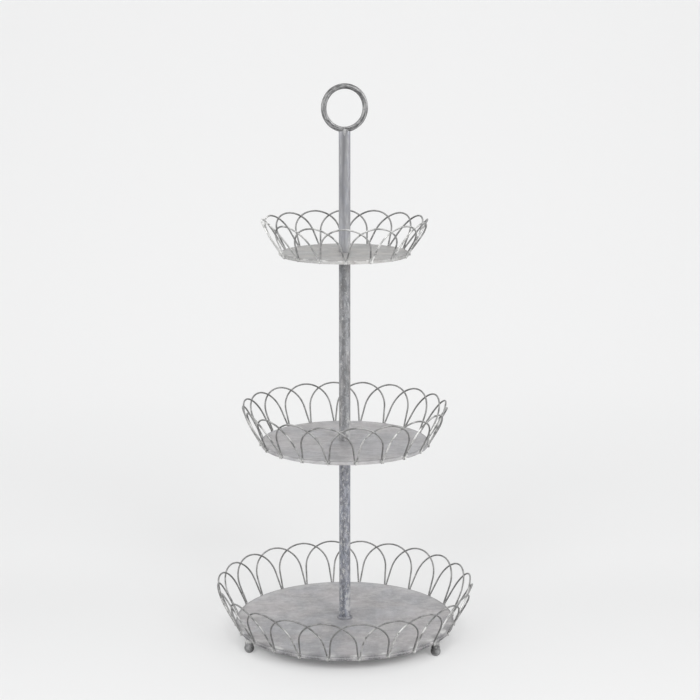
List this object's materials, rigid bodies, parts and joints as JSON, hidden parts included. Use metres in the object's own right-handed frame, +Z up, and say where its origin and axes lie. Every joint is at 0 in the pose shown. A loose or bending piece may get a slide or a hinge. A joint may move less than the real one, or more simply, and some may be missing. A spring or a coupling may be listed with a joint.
{
  "type": "tiered stand",
  "caption": "Free-standing tiered tray stand: round sheet-metal trays with galleries of overlapping wire loops on a tube post with a ring handle and ball feet.",
  "frame": {"origin": "on the floor, on the axis of the post", "axes": "+Z up along the post, +X to the right and -Y towards a viewer in front"},
  "size_m": [0.367, 0.367, 0.7875],
  "materials": {
    "washed_sheet": "galvanised sheet with a thin whitewash, matt, lightly streaked and scuffed",
    "washed_tube": "mottled galvanised tube, satin, with light rubbed patches",
    "dark_wire": "dark zinc wire with patchy whitewash",
    "cast_foot": "dark grey metal, satin",
    "plated_steel": "bright zinc-plated steel"
  },
  "bodies": {
    "root": {"ring_handle": "washed_tube", "ring_seat_plug": "washed_tube", "upper_post": "washed_tube", "upper_post_lower_plug": "plated_steel", "top_tray_stud": "plated_steel", "top_tray": "washed_sheet", "top_gallery_wire_01": "dark_wire", "top_gallery_wire_02": "dark_wire", "top_gallery_wire_03": "dark_wire", "top_gallery_wire_04": "dark_wire", "top_gallery_wire_05": "dark_wire", "top_gallery_wire_06": "dark_wire", "top_gallery_wire_07": "dark_wire", "top_gallery_wire_08": "dark_wire", "middle_post_upper_plug": "plated_steel", "middle_post": "washed_tube", "middle_post_lower_plug": "plated_steel", "middle_tray_stud": "plated_steel", "middle_tray": "washed_sheet", "middle_gallery_wire_01": "dark_wire", "middle_gallery_wire_02": "dark_wire", "middle_gallery_wire_03": "dark_wire", "middle_gallery_wire_04": "dark_wire", "middle_gallery_wire_05": "dark_wire", "middle_gallery_wire_06": "dark_wire", "middle_gallery_wire_07": "dark_wire", "middle_gallery_wire_08": "dark_wire", "middle_gallery_wire_09": "dark_wire", "middle_gallery_wire_10": "dark_wire", "lower_post_upper_plug": "plated_steel", "lower_post": "washed_tube", "lower_post_lower_plug": "plated_steel", "base_collar": "washed_tube", "bottom_tray": "washed_sheet", "bottom_gallery_wire_01": "dark_wire", "bottom_gallery_wire_02": "dark_wire", "bottom_gallery_wire_03": "dark_wire", "bottom_gallery_wire_04": "dark_wire", "bottom_gallery_wire_05": "dark_wire", "bottom_gallery_wire_06": "dark_wire", "bottom_gallery_wire_07": "dark_wire", "bottom_gallery_wire_08": "dark_wire", "bottom_gallery_wire_09": "dark_wire", "bottom_gallery_wire_10": "dark_wire", "bottom_gallery_wire_11": "dark_wire", "bottom_gallery_wire_12": "dark_wire", "base_washer": "plated_steel", "base_bolt": "plated_steel", "front_left_foot": "cast_foot", "front_right_foot": "cast_foot", "back_foot": "cast_foot"}
  },
  "joints": []
}
